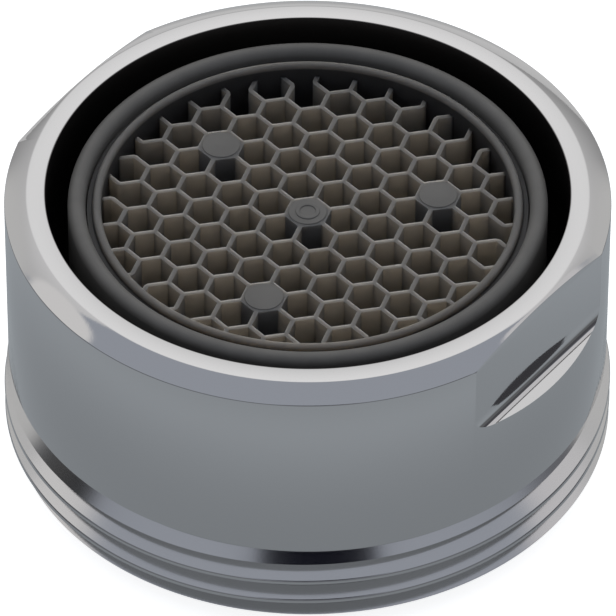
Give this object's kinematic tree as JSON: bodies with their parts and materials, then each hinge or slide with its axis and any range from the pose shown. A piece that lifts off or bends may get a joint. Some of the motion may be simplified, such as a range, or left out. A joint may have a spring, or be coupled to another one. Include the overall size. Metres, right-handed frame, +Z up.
{
  "type": "tap aerator",
  "caption": "Round chromed tap aerator with a male thread, spanner flats, a grey plastic insert with a honeycomb outlet and a ring-shaped air intake.",
  "frame": {"origin": "centre of the washer's seat face, which the part stands on", "axes": "+Z up the axis and out of the outlet, +X out of one spanner flat, +Y along the flats"},
  "size_m": [0.0239, 0.0238, 0.0123],
  "materials": {
    "chromed_brass": "polished chrome plating on turned brass",
    "washer_rubber": "matt black rubber",
    "grey_plastic": "satin dark grey moulding, slightly translucent where thin",
    "strainer_plastic": "satin light grey moulding"
  },
  "bodies": {
    "root": {"housing": "chromed_brass", "sealing_washer": "washer_rubber", "outlet_sleeve": "grey_plastic", "strainer": "strainer_plastic", "jet_former": "strainer_plastic", "inlet_mixing_grid": "strainer_plastic", "outlet_mixing_grid": "strainer_plastic", "honeycomb_outlet": "grey_plastic"}
  },
  "joints": []
}
